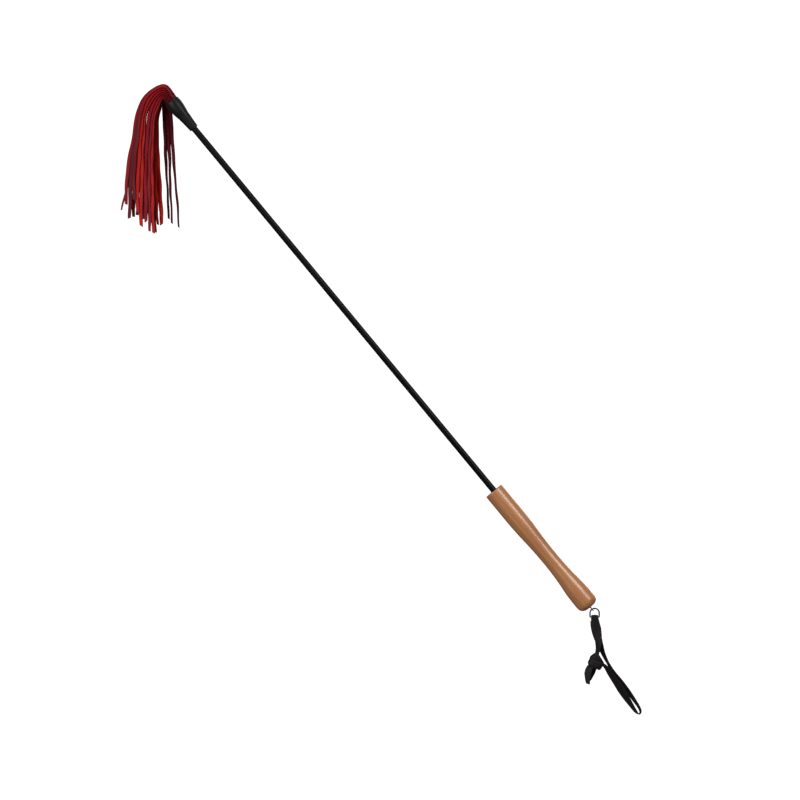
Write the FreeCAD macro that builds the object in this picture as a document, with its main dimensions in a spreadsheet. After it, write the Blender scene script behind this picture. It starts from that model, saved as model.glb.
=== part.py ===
# Fly swatter with a leather tassel, a thin shaft, a turned wooden grip and a wrist lace.
# Row frame in millimetres: +Z up, +X to the butt's side, the shaft lies in the XZ plane.
# The origin is on the grip's axis, where the hand holds it.
# The "stick frame" has its z axis along the shaft towards the collar and its y axis along row +Y.

import FreeCAD, Part
import math
import os

from FreeCAD import Placement, Rotation, Vector

doc = FreeCAD.newDocument("leather_fly_swatter")

# ---------------------------------------------------------------- driving dimensions

SIZES = [
    ("shaft_tilt", 39.62),  # angle of the shaft from the vertical, degrees
    ("grip_front", 75.0),  # from the origin to the flat front face of the grip
    ("grip_length", 151.0),
    ("front_radius", 10.25),
    ("front_straight", 30.0),
    ("waist_at", 88.0),  # from the front face
    ("waist_radius", 8.3),
    ("bulge_at", 138.0),
    ("bulge_radius", 11.1),
    ("butt_rounding", 7.0),
    ("front_curve", 431.8),  # radius of the hollow's front half, convex and concave alike
    ("hollow_curve", 297.8),  # concave radius behind the waist
    ("bulge_curve", 150.0),  # convex radius before the bulge
    ("sleeve_radius", 3.25),
    ("sleeve_in_grip", 60.0),
    ("core_radius", 1.9),
    ("core_in_grip", 80.0),
    ("mouth_at", 580.5),  # from the origin to the collar's mouth
    ("collar_length", 35.5),
    ("collar_end_radius", 4.5),
    ("collar_bulb_radius", 7.9),
    ("collar_rim_radius", 7.4),
    ("mouth_radius", 6.6),
    ("whipping_outer", 6.9),
    ("whipping_inner", 6.5),
    ("whipping_front", 1.5),  # from the mouth back to the whipping
    ("whipping_length", 8.0),
    ("strand_lead", 3.0),  # from the mouth out to where the strands begin to bend
    ("eye_at", 78.6),  # from the origin to the centre of the screw eye
    ("eye_ring_radius", 1.9),
    ("eye_wire_radius", 0.6),
    ("eye_shank_radius", 0.9),
    ("eye_shank_length", 14.0),
    ("ring_wire_radius", 0.75),
    ("ring_half_width", 4.6),
    ("ring_leg", 4.1),
    ("ring_held_at", 57.0),  # angle up the arch where the eye holds it, degrees
    ("strand_width", 3.6),
    ("back_strand_width", 3.0),
    ("strand_thickness", 1.0),
    ("root_pitch", 1.15),
    ("root_depth", 11.0),
    ("lace_width", 7.4),
    ("lace_thickness", 1.2),
]

sheet = doc.addObject("Spreadsheet::Sheet", "sizes")
for row, (alias, value) in enumerate(SIZES, start=1):
    sheet.set(f"A{row}", alias)
    sheet.set(f"B{row}", str(value))
    sheet.setAlias(f"B{row}", alias)
doc.recompute()


def size(alias):
    return float(sheet.get(alias))


tilt = Rotation(Vector(0, 1, 0), -size("shaft_tilt"))
alongShaft = tilt.multVec(Vector(0, 0, 1))
acrossShaft = tilt.multVec(Vector(1, 0, 0))
depth = Vector(0, 1, 0)
bend = alongShaft * (size("mouth_at") + size("strand_lead"))  # where the strands begin to bend


def on_stick(distance):
    """Placement of a sub-part drawn in the stick frame, moved along the shaft from the origin."""
    return Placement(alongShaft * distance, tilt)


# ---------------------------------------------------------------- sketch helpers


def new_body(label):
    body = doc.addObject("PartDesign::Body", label)
    body.Label = label
    return body


def new_sketch(body, name, role="XZ_Plane"):
    sketch = body.newObject("Sketcher::SketchObject", name)
    plane = next(f for f in body.Origin.OriginFeatures if f.Role == role)
    sketch.AttachmentSupport = [(plane, "")]
    sketch.MapMode = "FlatFace"
    return sketch


def draw_outline(sketch, corners, curves):
    """Closed outline through (x, y) expression pairs; curves gives {side: (radius, bulges left)}."""
    import Sketcher

    points = [Vector(*[sheet_value(e) for e in corner], 0) for corner in corners]
    for side, start in enumerate(points):
        end = points[(side + 1) % len(points)]
        if side in curves:
            radius, to_left = curves[side]
            sketch.addGeometry(arc_between(start, end, sheet_value(radius), to_left))
        else:
            sketch.addGeometry(Part.LineSegment(start, end))
    for side, (across, up) in enumerate(corners):
        vertex = side_start(sketch, side, points[side])
        if across != "0":
            sideways = Sketcher.Constraint("DistanceX", -1, 1, side, vertex, points[side].x)
            number = sketch.addConstraint(sideways)
            sketch.setExpression(f"Constraints[{number}]", across)
        else:
            sketch.addConstraint(Sketcher.Constraint("PointOnObject", side, vertex, -2))
        if up != "0":
            upright = Sketcher.Constraint("DistanceY", -1, 1, side, vertex, points[side].y)
            number = sketch.addConstraint(upright)
            sketch.setExpression(f"Constraints[{number}]", up)
        else:
            sketch.addConstraint(Sketcher.Constraint("PointOnObject", side, vertex, -1))
        before = (side - 1) % len(corners)
        other = 3 - side_start(sketch, before, points[before])
        sketch.addConstraint(Sketcher.Constraint("Coincident", before, other, side, vertex))
    for side, (radius, _) in curves.items():
        number = sketch.addConstraint(Sketcher.Constraint("Radius", side, sheet_value(radius)))
        sketch.setExpression(f"Constraints[{number}]", radius)


def side_start(sketch, side, point):
    """1 or 2: the vertex of that side which lies at the point."""
    first = sketch.getPoint(side, 1)
    return 1 if first.distanceToPoint(point) < 1e-4 else 2


def arc_between(start, end, radius, to_left):
    """Arc of that radius whose middle lies to the left or right of the way from start to end."""
    chord = end - start
    half = chord.Length / 2
    left = Vector(-chord.y, chord.x, 0).normalize()
    rise = radius - math.sqrt(max(radius * radius - half * half, 0.0))
    middle = (start + end) * 0.5 + left * (rise if to_left else -rise)
    return Part.Arc(start, middle, end)


def sheet_value(expression):
    """The number that a sheet expression stands for, so that the sketch starts close to its solution."""
    names = {alias: value for alias, value in SIZES}
    total = 0.0
    for term in expression.replace(" - ", " + -").split(" + "):
        sign = -1.0 if term.startswith("-") else 1.0
        product = 1.0
        for factor in term.lstrip("-").split(" * "):
            factor = factor.replace("sizes.", "")
            product *= names[factor] if factor in names else float(factor)
        total += sign * product
    return total


def revolve(body, sketch):
    """Full revolution of the sketch about its own vertical axis."""
    feature = body.newObject("PartDesign::Revolution", sketch.Name + "_turned")
    feature.Profile = sketch
    feature.ReferenceAxis = (sketch, ["V_Axis"])
    feature.Angle = 360.0
    return feature


def pad_circles(body, name, radii, length):
    """Pad of one circle, or of a ring between two, along the body's z axis."""
    import Sketcher

    sketch = new_sketch(body, name, "XY_Plane")
    for number, radius in enumerate(radii):
        sketch.addGeometry(Part.Circle(Vector(0, 0, 0), Vector(0, 0, 1), sheet_value(radius)))
        sketch.addConstraint(Sketcher.Constraint("Coincident", number, 3, -1, 1))
        constraint = sketch.addConstraint(Sketcher.Constraint("Radius", number, sheet_value(radius)))
        sketch.setExpression(f"Constraints[{constraint}]", radius)
    pad = body.newObject("PartDesign::Pad", name + "_pad")
    pad.Profile = sketch
    pad.setExpression("Length", length)
    return pad


def bore(body, name, radius, length):
    """Blind round pocket cut from the body's own XY plane down its -z direction."""
    import Sketcher

    sketch = new_sketch(body, name, "XY_Plane")
    sketch.addGeometry(Part.Circle(Vector(0, 0, 0), Vector(0, 0, 1), sheet_value(radius)))
    sketch.addConstraint(Sketcher.Constraint("Coincident", 0, 3, -1, 1))
    number = sketch.addConstraint(Sketcher.Constraint("Radius", 0, sheet_value(radius)))
    sketch.setExpression(f"Constraints[{number}]", radius)
    pocket = body.newObject("PartDesign::Pocket", name + "_pocket")
    pocket.Profile = sketch
    pocket.setExpression("Length", length)
    return pocket


# ---------------------------------------------------------------- wooden grip


def make_grip():
    """Turned grip: straight front, hollow waist, bulge and rounded butt, bored from both ends."""
    body = new_body("wooden_grip")
    sketch = new_sketch(body, "grip_profile")
    # distances down the grip from the front face, where the arcs change over
    frontBend = 59.0
    backBend = 121.25
    frontBendRadius = 9.275
    backBendRadius = 10.16
    corners = [
        ("0", "0"),
        ("sizes.front_radius", "0"),
        ("sizes.front_radius", "-sizes.front_straight"),
        (str(frontBendRadius), str(-frontBend)),
        ("sizes.waist_radius", "-sizes.waist_at"),
        (str(backBendRadius), str(-backBend)),
        ("sizes.bulge_radius", "-sizes.bulge_at"),
        ("sizes.bulge_radius", "sizes.butt_rounding - sizes.grip_length"),
        ("sizes.bulge_radius - sizes.butt_rounding", "-sizes.grip_length"),
        ("0", "-sizes.grip_length"),
    ]
    curves = {
        2: ("sizes.front_curve", True),
        3: ("sizes.front_curve", False),
        4: ("sizes.hollow_curve", False),
        5: ("sizes.bulge_curve", True),
        7: ("sizes.butt_rounding", True),
    }
    draw_outline(sketch, corners, curves)
    revolve(body, sketch)
    doc.recompute()
    whole = body.Shape.Volume
    bore(body, "sleeve_bore", "sizes.sleeve_radius", "sizes.sleeve_in_grip")
    bore(body, "core_bore", "sizes.core_radius", "sizes.core_in_grip")
    pilot = new_sketch(body, "pilot_profile")
    draw_outline(
        pilot,
        [
            ("0", "-sizes.grip_length"),
            ("sizes.eye_shank_radius", "-sizes.grip_length"),
            ("sizes.eye_shank_radius", "sizes.eye_shank_length - sizes.grip_length"),
            ("0", "sizes.eye_shank_length - sizes.grip_length"),
        ],
        {},
    )
    groove = body.newObject("PartDesign::Groove", "pilot_hole")
    groove.Profile = pilot
    groove.ReferenceAxis = (pilot, ["V_Axis"])
    groove.Angle = 360.0
    body.Placement = on_stick(size("grip_front"))
    doc.recompute()
    print(f"wooden_grip: {whole:.0f} mm3 solid, {body.Shape.Volume:.0f} mm3 with its bores")
    return body


# ---------------------------------------------------------------- shaft


def make_shaft():
    """Fibreglass core, and the sleeve braided over it."""
    core = new_body("fibreglass_core")
    inside = "sizes.mouth_at - sizes.grip_front + sizes.core_in_grip - sizes.whipping_front"
    pad_circles(core, "core_circle", ["sizes.core_radius"], inside)
    core.Placement = on_stick(size("grip_front") - size("core_in_grip"))

    sleeve = new_body("shaft_sleeve")
    covered = "sizes.mouth_at - sizes.grip_front + sizes.sleeve_in_grip - 18"
    pad_circles(sleeve, "sleeve_ring", ["sizes.sleeve_radius", "sizes.core_radius"], covered)
    sleeve.Placement = on_stick(size("grip_front") - size("sleeve_in_grip"))
    return [core, sleeve]


# ---------------------------------------------------------------- collar and whipping


def make_collar():
    """Rubber collar: a sleeve on the shaft that flares to a bulb and closes in a little at the mouth."""
    body = new_body("strand_collar")
    sketch = new_sketch(body, "collar_profile")
    # radius and distance back from the mouth of the points where the outline turns
    corners = [
        ("sizes.mouth_radius", "0"),
        ("sizes.collar_rim_radius", "0"),
        ("sizes.collar_bulb_radius", "-4.5"),
        ("sizes.collar_bulb_radius - 0.45", "-10.5"),
        ("5.75", "-19.5"),
        ("sizes.collar_end_radius", "0.5 - sizes.collar_length"),
        ("sizes.collar_end_radius - 0.5", "-sizes.collar_length"),
        ("sizes.sleeve_radius", "-sizes.collar_length"),
        ("sizes.sleeve_radius", "-15"),
        ("sizes.whipping_outer", "-10"),
        ("sizes.whipping_outer", "-sizes.whipping_front"),
        ("sizes.mouth_radius", "-sizes.whipping_front"),
    ]
    curves = {
        1: ("24", True),
        2: ("36", True),
        3: ("44", False),
        5: ("0.5", True),
    }
    draw_outline(sketch, corners, curves)
    revolve(body, sketch)
    body.Placement = on_stick(size("mouth_at"))

    whipping = new_body("root_whipping")
    pad_circles(
        whipping,
        "whipping_ring",
        ["sizes.whipping_outer", "sizes.whipping_inner"],
        "sizes.whipping_length",
    )
    whipping.Placement = on_stick(size("mouth_at") - size("whipping_front") - size("whipping_length"))
    return [body, whipping]


# ---------------------------------------------------------------- screw eye and D-ring

eyeCentre = alongShaft * -size("eye_at")


def make_eye():
    """Screw eye: a wire ring edge-on to the row's Y axis, on a shank along the grip's axis."""
    loop = doc.addObject("Part::Torus", "eye_loop")
    loop.setExpression("Radius1", "sizes.eye_ring_radius")
    loop.setExpression("Radius2", "sizes.eye_wire_radius")
    loop.Placement = Placement(eyeCentre, Rotation(Vector(0, 0, 1), acrossShaft))
    shank = doc.addObject("Part::Cylinder", "eye_shank")
    shank.setExpression("Radius", "sizes.eye_shank_radius")
    shank.setExpression(
        "Height",
        "sizes.eye_at - sizes.grip_length + sizes.grip_front"
        " - sizes.eye_ring_radius + sizes.eye_shank_length",
    )
    shank.Placement = on_stick(size("eye_ring_radius") - size("eye_at"))
    eye = doc.addObject("Part::Fuse", "screw_eye")
    eye.Base = loop
    eye.Tool = shank
    eye.Label = "screw_eye"
    return eye


def make_ring():
    """D-ring: a flat bar, two short legs and a half-round arch that runs through the screw eye."""
    half = size("ring_half_width")
    wire = size("ring_wire_radius")
    slack = size("eye_ring_radius") - size("eye_wire_radius") - wire - 0.3
    held = eyeCentre - alongShaft * slack
    heldAt = math.radians(size("ring_held_at"))
    centre = held + Vector(half * math.cos(heldAt), 0, -half * math.sin(heldAt))
    bar = centre.z - size("ring_leg")
    corner = 1.3 * wire
    left, right = centre.x - half, centre.x + half
    turn = corner * (1 - math.sqrt(0.5))
    edges = [
        Part.Arc(Vector(left, 0, centre.z), centre + Vector(0, 0, half), Vector(right, 0, centre.z)),
        Part.LineSegment(Vector(right, 0, centre.z), Vector(right, 0, bar + corner)),
        Part.Arc(
            Vector(right, 0, bar + corner),
            Vector(right - turn, 0, bar + turn),
            Vector(right - corner, 0, bar),
        ),
        Part.LineSegment(Vector(right - corner, 0, bar), Vector(left + corner, 0, bar)),
        Part.Arc(
            Vector(left + corner, 0, bar),
            Vector(left + turn, 0, bar + turn),
            Vector(left, 0, bar + corner),
        ),
        Part.LineSegment(Vector(left, 0, bar + corner), Vector(left, 0, centre.z)),
    ]
    path = Part.Wire([e.toShape() for e in edges])
    section = Part.Wire(Part.Circle(Vector(left, 0, centre.z), Vector(0, 0, 1), wire).toShape())
    ring = doc.addObject("Part::Feature", "d_ring")
    ring.Label = "d_ring"
    ring.Shape = path.makePipeShell([section], True, False)
    print(f"d_ring: arch centre {tuple(round(v, 2) for v in centre)}, bar at z {bar:.2f}")
    return ring


# ---------------------------------------------------------------- flat leather strips

arcShare = 0.45  # an arc takes this share of the shorter of its two runs
arcStep = 24.0  # degrees of turn between two sections of an arc


def stations(route):
    """Straight runs joined by tangent arcs: [(point, direction, place along)] and the arcs' radii."""
    found = [(route[0], (route[1] - route[0]).normalize(), 0.0)]
    radii = []
    length = 0.0
    last = route[0]
    for number in range(1, len(route) - 1):
        corner = route[number]
        back, ahead = route[number - 1] - corner, route[number + 1] - corner
        turn = math.pi - back.getAngle(ahead)
        reach = arcShare * min(back.Length, ahead.Length)
        radius = reach / math.tan(turn / 2)
        radii.append(radius)
        into, out = (-back).normalize(), Vector(ahead).normalize()
        start = corner - into * reach
        length += (start - last).Length + radius * turn
        last = corner + out * reach
        centre = start + (out - into * math.cos(turn)).normalize() * radius
        steps = max(1, math.ceil(math.degrees(turn) / arcStep))
        axis = into.cross(out)
        for step in range(steps + 1):
            share = step / steps
            spin = Rotation(axis, math.degrees(turn * share))
            place = number + (share - 0.5) * 2 * reach / (back.Length if share < 0.5 else ahead.Length)
            found.append((centre + spin.multVec(start - centre), spin.multVec(into), place))
    length += (route[-1] - last).Length
    found.append((route[-1], (route[-1] - route[-2]).normalize(), float(len(route) - 1)))
    return found, radii, length


def flat_strip(label, route, widthways, width, thickness):
    """Solid of a flat strip along the route; widthways gives the direction of its width at each point."""
    found, radii, length = stations(route)
    wires = []
    for point, direction, place in found:
        low = min(int(place), len(route) - 2)
        share = min(max(place - low, 0.0), 1.0)
        side = widthways[low] * (1 - share) + widthways[low + 1] * share
        side = (side - direction * side.dot(direction)).normalize()
        face = direction.cross(side)
        half, thin = side * (width / 2), face * (thickness / 2)
        corners = [point + half + thin, point - half + thin, point - half - thin, point + half - thin]
        wires.append(Part.makePolygon(corners + corners[:1]))
    solid = Part.makeLoft(wires, True, True)
    strip = doc.addObject("Part::Feature", label)
    strip.Label = label
    strip.Shape = solid
    expected = width * thickness * length
    print(
        f"{label}: {length:.1f} mm long, radii {' '.join(f'{r:.1f}' for r in radii)} mm,"
        f" volume {solid.Volume:.1f} of {expected:.1f} mm3"
    )
    return strip


def turned(angle, direction):
    """Width direction: 0 is along Y, edge-on from the front; 90 lies in the XZ plane, face-on."""
    inPlane = direction.cross(depth).normalize()
    return depth * math.cos(math.radians(angle)) + inPlane * math.sin(math.radians(angle))


# ---------------------------------------------------------------- tassel

# Corners of the two outermost routes, in mm from where the strands begin to bend: (x, z) of the inside one
# and of the outside one. A strand between them takes its share of each. After the arch, hang gives
# how far down its own drop each corner is.
archInside = [(-6.0, -0.4), (-8.4, -2.4), (-9.5, -9.5), (-12.5, -17.5), (-13.3, -27.0)]
archOutside = [(-3.9, 15.9), (-15.8, 11.0), (-26.4, 1.8), (-31.4, -11.0), (-33.9, -26.0)]
hangInside = [-12.0, -9.6, -7.8]
hangOutside = [-39.2, -43.2, -43.9]
hangShare = [0.33, 0.67, 1.0]
spread = [1.15, 1.4, 1.7, 1.9, 1.9, 1.9, 1.9, 1.9]  # growth of a strand's depth along its route
strandTurn = [0, 0, 0, -3, -12, -30, -42, -52, -58, -60]  # degrees from edge-on at each point

# Main bundle: row across the mouth (in root pitches, the top of the arch is 4.5), depth of the root,
# drop below the mouth, and how far the tip strays sideways.
mainStrands = [
    (-2.5, -3.75, 134.5, 0.0),
    (-1.5, -3.75, 132.8, 0.5),
    (-0.5, -3.75, 123.0, 1.0),
    (0.5, -3.75, 127.6, -0.5),
    (1.5, -3.75, 113.6, 0.0),
    (2.5, -3.75, 101.0, 0.5),
    (-3.5, -1.85, 126.0, 0.0),
    (3.5, -1.85, 119.6, 0.0),
    (-3.6, 1.85, 112.0, 2.0),
    (3.5, 1.85, 111.0, -7.0),
    (-2.5, 0.0, 133.5, 2.0),
    (2.5, 0.0, 118.0, -0.5),
    (-4.5, 0.0, 125.6, 0.0),
    (4.5, 0.0, 105.5, 0.0),
    (0.5, 3.75, 120.0, 1.0),
    (1.5, 3.75, 116.0, -1.0),
    (2.5, 3.75, 108.0, 0.0),
]

# Back strands: depth of the root, then the route's points after the mouth (x, y, z from its middle).
backRow = -1.6
backStrands = [
    (
        4.9,
        [(-3.6, 5.1, 1.9), (-3.5, 9.9, 2.0), (-0.4, 10.6, -7.0), (0.8, 10.6, -20.0), (2.2, 10.6, -42.0),
         (4.2, 10.6, -72.0), (6.9, 10.5, -99.0), (8.7, 10.5, -128.0)],
    ),
    (
        3.75,
        [(-4.5, 4.0, 2.9), (-5.2, 10.8, 4.1), (-3.4, 11.8, -6.0), (-2.5, 11.8, -20.0), (-1.3, 11.8, -42.0),
         (-0.4, 11.7, -72.0), (0.3, 11.6, -98.0), (1.9, 11.5, -124.0)],
    ),
    (
        2.6,
        [(-5.2, 2.8, 3.8), (-7.2, 11.7, 5.6), (-6.8, 13.0, -5.0), (-5.9, 13.0, -20.0), (-5.0, 12.9, -42.0),
         (-4.2, 12.8, -70.0), (-2.6, 12.7, -96.0), (-1.5, 12.6, -119.5)],
    ),
]
backTurn = [90, 90, 90, 90, 88, 80, 55, 20, 8, 0]


def bend_point(row, rootDepth, ahead):
    return bend + acrossShaft * row + depth * rootDepth + alongShaft * ahead


def main_route(row, rootDepth, drop, stray):
    """Root, start of the bend, the corners of the arch and those of the hanging length."""
    share = (row + 4.5) / 9.0
    offset = row * size("root_pitch")
    points = [bend_point(offset, rootDepth, -size("root_depth")), bend_point(offset, rootDepth, 0)]
    corners = [
        (a + (c - a) * share, b + (d - b) * share) for (a, b), (c, d) in zip(archInside, archOutside)
    ]
    fall = corners[-1][1]
    for number, down in enumerate(hangShare):
        x = hangInside[number] + (hangOutside[number] - hangInside[number]) * share
        corners.append((x + stray * down**3, fall - (drop + fall) * down))
    for (x, z), grown in zip(corners, spread):
        points.append(bend + Vector(x, rootDepth * grown, z))
    return points


def directions(route):
    """Direction of the route at each of its points."""
    found = []
    for number in range(len(route)):
        before, after = route[max(number - 1, 0)], route[min(number + 1, len(route) - 1)]
        found.append((after - before).normalize())
    return found


def make_strands():
    strips = []
    thickness = size("strand_thickness")
    for row, rootDepth, drop, stray in mainStrands:
        route = main_route(row, rootDepth, drop, stray)
        widthways = [turned(a, d) for a, d in zip(strandTurn, directions(route))]
        label = f"strand_{len(strips) + 1:02d}"
        strips.append(flat_strip(label, route, widthways, size("strand_width"), thickness))
    for rootDepth, after in backStrands:
        route = [bend_point(backRow, rootDepth, -size("root_depth")), bend_point(backRow, rootDepth, 0)]
        route += [bend + Vector(*p) for p in after]
        across = [acrossShaft, acrossShaft, acrossShaft, Vector(1, 0, 0.35), Vector(1, 0, 0)]
        widthways = across + [turned(a, Vector(0, 0, -1)) for a in backTurn[5:]]
        label = f"strand_{len(strips) + 1:02d}"
        strips.append(flat_strip(label, route, widthways, size("back_strand_width"), thickness))
    return strips


# ---------------------------------------------------------------- wrist lace

# Routes of the lace (x, y, z). It goes over the D-ring's bar on three corners round the wire, and both
# runs start behind the bar. The angles turn it from face-on at the bar to nearly edge-on in the loop.
laceFront = [
    ((52.8, 1.6, -72.4), 90),
    ((52.8, 1.65, -67.85), 90),
    ((52.8, 0.0, -66.75), 90),
    ((52.8, -1.65, -67.85), 90),
    ((54.2, -1.4, -80.2), 94),
    ((56.9, -1.8, -92.4), 122),
    ((56.0, -2.2, -103.6), 150),
    ((50.8, -2.5, -115.4), 130),
    ((44.8, -2.6, -123.0), 112),
    ((46.2, -2.0, -135.4), 112),
]
laceLoop = [
    ((52.8, 1.6, -72.4), 90),
    ((53.2, 1.6, -78.4), 90),
    ((55.2, 1.6, -86.8), 102),
    ((58.2, 1.6, -96.0), 130),
    ((61.0, 1.2, -104.4), 152),
    ((65.6, 0.8, -114.0), 168),
    ((71.6, 0.4, -123.8), 170),
    ((78.4, 0.0, -131.8), 166),
    ((85.4, 0.0, -141.6), 163),
    ((92.4, 0.0, -151.6), 162),
    ((99.4, 0.0, -162.2), 164),
    ((97.4, 0.0, -166.6), 172),
    ((93.4, 0.0, -163.0), 192),
    ((86.2, 0.0, -151.8), 210),
    ((79.4, 0.0, -141.6), 225),
    ((73.0, 0.2, -131.8), 218),
    ((68.2, 0.5, -125.0), 210),
    ((62.6, 1.4, -116.4), 205),
    ((55.0, 3.0, -114.6), 230),
    ((50.4, 3.8, -123.2), 245),
    ((47.2, 3.8, -132.4), 245),
]


def make_lace():
    """The two runs of the lace, which meet behind the bar, and the knot that ties its ends."""
    strips = []
    for label, points, overBar in (("lace_front_run", laceFront, 4), ("lace_loop_run", laceLoop, 2)):
        route = [Vector(*p) for p, _ in points]
        after = zip(points[overBar:], directions(route)[overBar:])
        widthways = [Vector(1, 0, 0)] * overBar
        widthways += [turned(angle, direction) for (_, angle), direction in after]
        strips.append(flat_strip(label, route, widthways, size("lace_width"), size("lace_thickness")))
    knot = doc.addObject("Part::Ellipsoid", "lace_knot")
    knot.Label = "lace_knot"
    knot.Radius1 = 5.0
    knot.Radius2 = 8.0
    knot.Radius3 = 6.2
    knot.Angle1 = -90
    knot.Angle2 = 90
    knot.Angle3 = 360
    knot.Placement = Placement(Vector(54.0, 0.3, -113.6), Rotation(Vector(0, 1, 0), 40))
    return strips + [knot]


# ---------------------------------------------------------------- assembly

parts = [make_grip(), make_eye(), make_ring()] + make_shaft() + make_collar()
parts += make_strands() + make_lace()
doc.recompute()

for made in doc.Objects:
    if "Invalid" in made.State or "Error" in made.State:
        raise RuntimeError(f"{made.Label} failed: {made.State}")
for made in parts:
    if made.Shape.isNull() or not made.Shape.isValid() or len(made.Shape.Solids) != 1:
        raise RuntimeError(f"{made.Label} isn't one valid solid")

os.makedirs("parts", exist_ok=True)
for made in parts:
    made.Shape.exportStep(f"parts/{made.Label}.step")
print(f"{len(parts)} sub-parts written")
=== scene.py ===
import math
import random

import bpy
from mathutils import Matrix, Vector


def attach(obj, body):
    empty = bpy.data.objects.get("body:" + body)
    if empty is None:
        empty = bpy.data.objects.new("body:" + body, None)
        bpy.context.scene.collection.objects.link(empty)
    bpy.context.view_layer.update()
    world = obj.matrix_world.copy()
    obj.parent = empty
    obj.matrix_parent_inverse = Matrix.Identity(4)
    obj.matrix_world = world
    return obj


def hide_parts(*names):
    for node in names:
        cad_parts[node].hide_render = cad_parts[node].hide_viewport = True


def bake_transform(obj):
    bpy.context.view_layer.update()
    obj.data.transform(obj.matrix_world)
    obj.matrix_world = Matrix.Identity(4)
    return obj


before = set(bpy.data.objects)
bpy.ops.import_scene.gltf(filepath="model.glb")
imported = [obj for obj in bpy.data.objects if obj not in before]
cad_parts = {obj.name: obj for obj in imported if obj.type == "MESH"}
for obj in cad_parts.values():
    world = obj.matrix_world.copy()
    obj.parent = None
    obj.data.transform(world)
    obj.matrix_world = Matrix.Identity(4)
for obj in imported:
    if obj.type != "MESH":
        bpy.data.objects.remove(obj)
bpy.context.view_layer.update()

# Lengths are in millimetres, apart from the places and sizes of the lights, which are in metres.
# Each dictionary with Look in its name holds what a user may want to change in the piece after it.

mm = 0.001
tilt = math.radians(39.62)
stick = Matrix.Rotation(-tilt, 4, "Y")
alongShaft = (stick @ Vector((0, 0, 1))).normalized()
acrossShaft = (stick @ Vector((1, 0, 0))).normalized()
depth = Vector((0, 1, 0))
gripFront = 75.0  # distances along the shaft from the origin, in mm
mouthAt = 580.5
collarLength = 35.5
sleeveRadius = 3.25
coreRadius = 1.9
strandLead = 3.0  # from the mouth out to where the strands begin to bend
rootDepthInside = 11.0  # from there back to the ends of the strands
bendStart = alongShaft * (mouthAt + strandLead)

cameraLook = {"aim": (-141.8, 0.0, 148.4), "distance": 4444.0, "lens": 200.0}


def makeCamera():
    camera = bpy.data.objects.new("camera", bpy.data.cameras.new("camera"))
    bpy.context.scene.collection.objects.link(camera)
    camera.data.lens = cameraLook["lens"]
    camera.data.sensor_width = 36.0
    camera.data.clip_end = 60.0
    aim = Vector(cameraLook["aim"]) * mm
    camera.location = aim - depth * cameraLook["distance"] * mm
    camera.rotation_euler = (math.radians(90), 0, 0)
    bpy.context.scene.camera = camera
    bpy.context.scene.view_settings.view_transform = "Standard"
    print("camera placed")


class Value:
    # A socket that can be used in sums.
    def __init__(self, shader, socket):
        self.shader = shader
        self.socket = socket

    def maths(self, operation, *others):
        return self.shader.node("ShaderNodeMath", {"operation": operation}, [self, *others])

    def __add__(self, other):
        return self.maths("ADD", other)

    def __sub__(self, other):
        return self.maths("SUBTRACT", other)

    def __mul__(self, other):
        return self.maths("MULTIPLY", other)

    def between(self, low, high):
        # 0 below low, 1 above high, smooth in between
        settings = {"interpolation_type": "SMOOTHSTEP"}
        return self.shader.node("ShaderNodeMapRange", settings, [self, low, high, 0.0, 1.0])


class Shader:
    def __init__(self, name):
        self.material = bpy.data.materials.new(name)
        self.material.use_nodes = True
        self.tree = self.material.node_tree
        self.tree.nodes.clear()
        self.bsdf = self.tree.nodes.new("ShaderNodeBsdfPrincipled")
        output = self.tree.nodes.new("ShaderNodeOutputMaterial")
        self.tree.links.new(self.bsdf.outputs[0], output.inputs[0])

    def node(self, kind, settings=None, inputs=(), output=0):
        made = self.tree.nodes.new(kind)
        for name, value in (settings or {}).items():
            setattr(made, name, value)
        pairs = inputs.items() if isinstance(inputs, dict) else enumerate(inputs)
        for key, value in pairs:
            self.put(value, made.inputs[key])
        return Value(self, made.outputs[output])

    def put(self, value, socket):
        if isinstance(value, Value):
            self.tree.links.new(value.socket, socket)
        elif isinstance(value, (tuple, list)) and socket.type == "RGBA":
            socket.default_value = (*value[:3], 1.0)
        else:
            socket.default_value = value

    def set(self, **values):
        for name, value in values.items():
            self.put(value, self.bsdf.inputs[name.replace("_", " ")])
        return self.material

    def mix(self, share, first, second):
        settings = {"data_type": "RGBA"}
        return self.node("ShaderNodeMix", settings, {0: share, 6: first, 7: second}, 2)

    def place(self):
        # the point in the row frame, in millimetres
        point = self.node("ShaderNodeTexCoord", output="Object")
        return self.node("ShaderNodeVectorMath", {"operation": "SCALE"}, {0: point, 3: 1000.0})

    def onStick(self):
        # the point along and across the shaft, in millimetres
        settings = {"rotation_type": "Y_AXIS"}
        return self.node("ShaderNodeVectorRotate", settings, {"Vector": self.place(), "Angle": tilt})

    def split(self, vector):
        made = self.tree.nodes.new("ShaderNodeSeparateXYZ")
        self.put(vector, made.inputs[0])
        return [Value(self, made.outputs[k]) for k in range(3)]

    def join(self, x, y, z):
        return self.node("ShaderNodeCombineXYZ", None, [x, y, z])

    def noise(self, vector, scale, detail=3.0, rough=0.5, output=0):
        values = {"Vector": vector, "Scale": scale, "Detail": detail, "Roughness": rough}
        return self.node("ShaderNodeTexNoise", None, values, output)

    def attribute(self, name):
        return self.node("ShaderNodeAttribute", {"attribute_name": name}, output="Fac")

    def bump(self, height, distance, strength=1.0):
        # distance in millimetres
        values = {"Height": height, "Distance": distance * mm, "Strength": strength}
        return self.node("ShaderNodeBump", None, values)


def evaluated(made):
    return made.evaluated_get(bpy.context.evaluated_depsgraph_get())


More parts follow.
